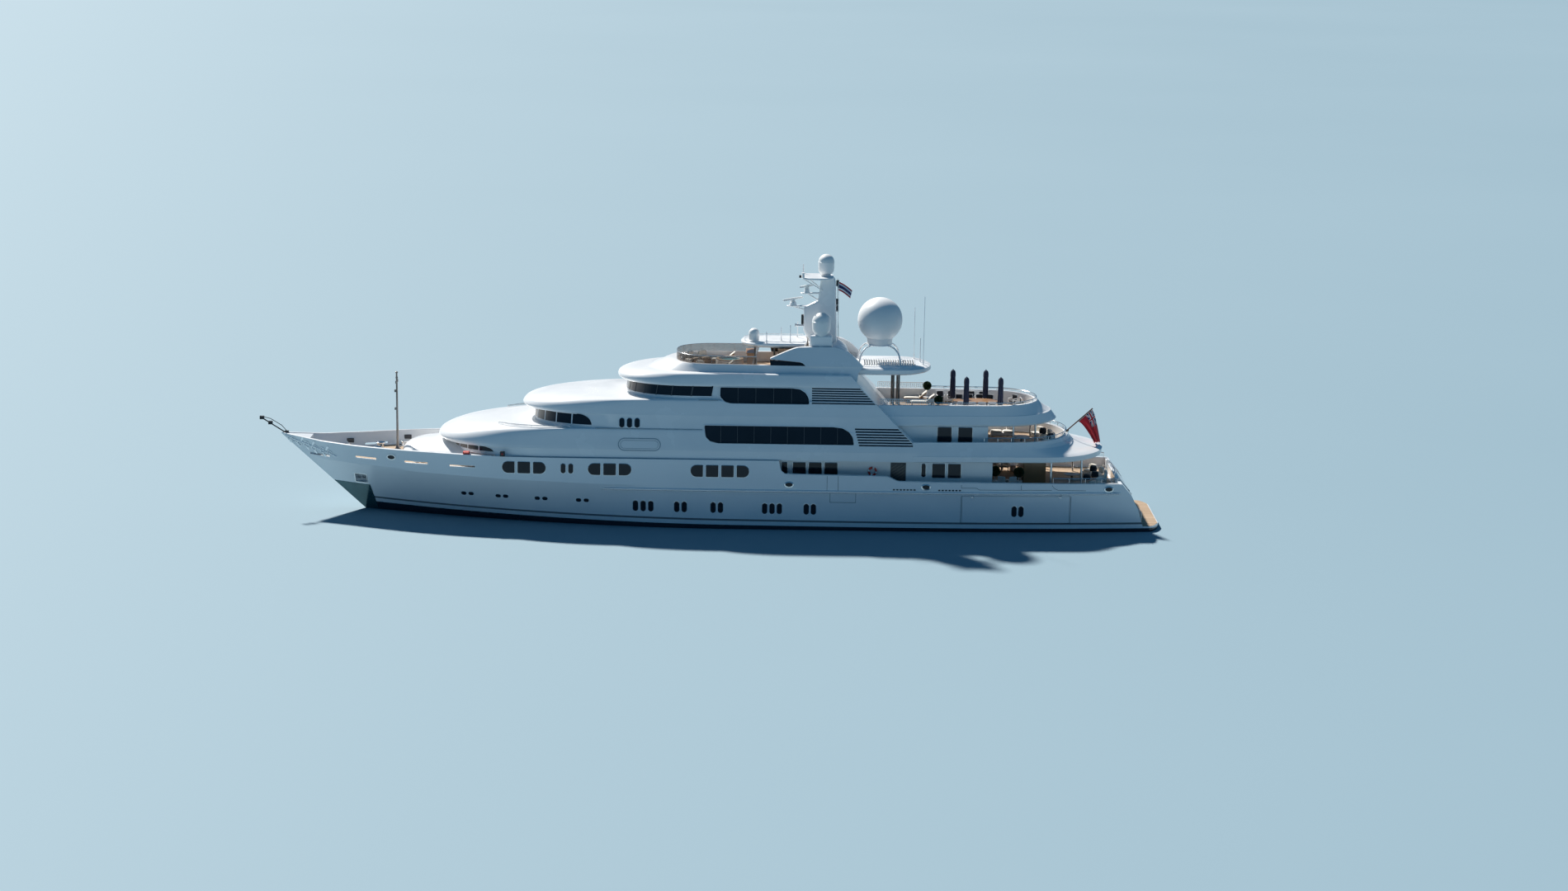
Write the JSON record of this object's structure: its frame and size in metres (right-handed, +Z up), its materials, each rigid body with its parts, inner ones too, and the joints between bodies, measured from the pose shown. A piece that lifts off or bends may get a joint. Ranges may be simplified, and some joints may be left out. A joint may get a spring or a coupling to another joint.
{
  "type": "half-scale model of a motor yacht",
  "caption": "Displacement motor yacht with raked bow, rounded stepped decks, radar arch, mast and domes, open aft decks, shell doors, turning propellers, rudders, fins and scanners.",
  "frame": {"origin": "on the centreline at the waterline, halfway along the hull", "axes": "+X aft along the keel, +Y to starboard, +Z up"},
  "size_m": [37.3784, 6.3596, 12.9354],
  "materials": {
    "white_paint": "high gloss white yacht enamel",
    "dark_glass": "dark tinted, polished",
    "dome_shell": "white gelcoat",
    "scanner_shell": "white gelcoat",
    "steel": "polished stainless",
    "teak": "varnished",
    "cushion": "woven outdoor cloth",
    "navy_canvas": "woven canvas",
    "ensign_cloth": "light flag cloth",
    "bronze": "polished bronze",
    "antifouling": "matt antifouling"
  },
  "bodies": {
    "ship": {"hull": "white_paint", "forward_house": "white_paint", "middle_house": "white_paint", "wheelhouse": "white_paint", "wheelhouse_roof": "white_paint", "main_deck_house": "white_paint", "upper_deck_aft": "white_paint", "bridge_deck_aft": "white_paint", "upper_deck_house": "white_paint", "radar_arch": "white_paint", "radar_platform": "white_paint", "hardtop": "white_paint", "mast": "white_paint", "radome_stand": "white_paint", "foremast": "white_paint", "bow_pole": "white_paint", "forward_house_window": "dark_glass", "middle_house_window": "dark_glass", "wheelhouse_window": "dark_glass", "upper_window_port": "dark_glass", "upper_window_starboard": "dark_glass", "bridge_window_port": "dark_glass", "bridge_window_starboard": "dark_glass", "windscreen": "dark_glass", "top_dome": "dome_shell", "mast_dome_port": "dome_shell", "mast_dome_starboard": "dome_shell", "small_dome": "dome_shell", "radome": "dome_shell", "sun_deck_tub": "dome_shell", "windlass_port": "steel", "windlass_starboard": "steel", "anchor_port": "steel", "anchor_starboard": "steel", "shaft_port": "steel", "shaft_starboard": "steel", "dining_table": "teak", "ensign_staff": "teak", "main_deck_sofa": "cushion", "upper_deck_sofa": "cushion", "umbrella_1": "navy_canvas", "umbrella_2": "navy_canvas", "umbrella_3": "navy_canvas", "umbrella_4": "navy_canvas", "ensign": "ensign_cloth"},
    "propeller_port": {"propeller_port": "bronze"},
    "propeller_starboard": {"propeller_starboard": "bronze"},
    "rudder_port": {"rudder_port": "antifouling"},
    "rudder_starboard": {"rudder_starboard": "antifouling"},
    "scanner_lower": {"scanner_lower": "scanner_shell"},
    "scanner_upper": {"scanner_upper": "scanner_shell"},
    "garage_door_port": {"garage_door_port": "white_paint"},
    "garage_door_starboard": {"garage_door_starboard": "white_paint"},
    "stabiliser_port": {"stabiliser_port": "antifouling"},
    "stabiliser_starboard": {"stabiliser_starboard": "antifouling"}
  },
  "joints": [
    {"name": "propeller_port_spin", "type": "hinge", "parent": "ship", "child": "propeller_port", "pos_m": [15.5, -1.1, -1.35], "axis": [1, 0, 0], "continuous": true},
    {"name": "propeller_starboard_spin", "type": "hinge", "parent": "ship", "child": "propeller_starboard", "pos_m": [15.5, 1.1, -1.35], "axis": [1, 0, 0], "continuous": true},
    {"name": "rudder_port_turn", "type": "hinge", "parent": "ship", "child": "rudder_port", "pos_m": [16.5, -1.1, -0.725], "axis": [0, 0, 1], "range_deg": [-35, 35]},
    {"name": "rudder_starboard_turn", "type": "hinge", "parent": "ship", "child": "rudder_starboard", "pos_m": [16.5, 1.1, -0.725], "axis": [0, 0, 1], "range_deg": [-35, 35]},
    {"name": "scanner_lower_spin", "type": "hinge", "parent": "ship", "child": "scanner_lower", "pos_m": [3.04, 0, 9.06], "axis": [0, 0, 1], "continuous": true},
    {"name": "scanner_upper_spin", "type": "hinge", "parent": "ship", "child": "scanner_upper", "pos_m": [3.6, 0, 9.6], "axis": [0, 0, 1], "continuous": true},
    {"name": "garage_door_port_open", "type": "hinge", "parent": "ship", "child": "garage_door_port", "pos_m": [12.25, -2.98154, 1.5325], "axis": [-0.9988, -0.0486, 0], "range_deg": [0, 80]},
    {"name": "garage_door_starboard_open", "type": "hinge", "parent": "ship", "child": "garage_door_starboard", "pos_m": [12.25, 2.98154, 1.5325], "axis": [0.9988, -0.0486, 0], "range_deg": [0, 80]},
    {"name": "stabiliser_port_tilt", "type": "hinge", "parent": "ship", "child": "stabiliser_port", "pos_m": [-1, -2.665, -1.48], "axis": [0, -0.766, -0.6428], "range_deg": [-20, 20]},
    {"name": "stabiliser_starboard_tilt", "type": "hinge", "parent": "ship", "child": "stabiliser_starboard", "pos_m": [-1, 2.665, -1.48], "axis": [0, 0.766, -0.6428], "range_deg": [-20, 20]}
  ],
  "couplings": [
    {"joint": "rudder_starboard_turn", "follows": "rudder_port_turn", "ratio": 1}
  ]
}
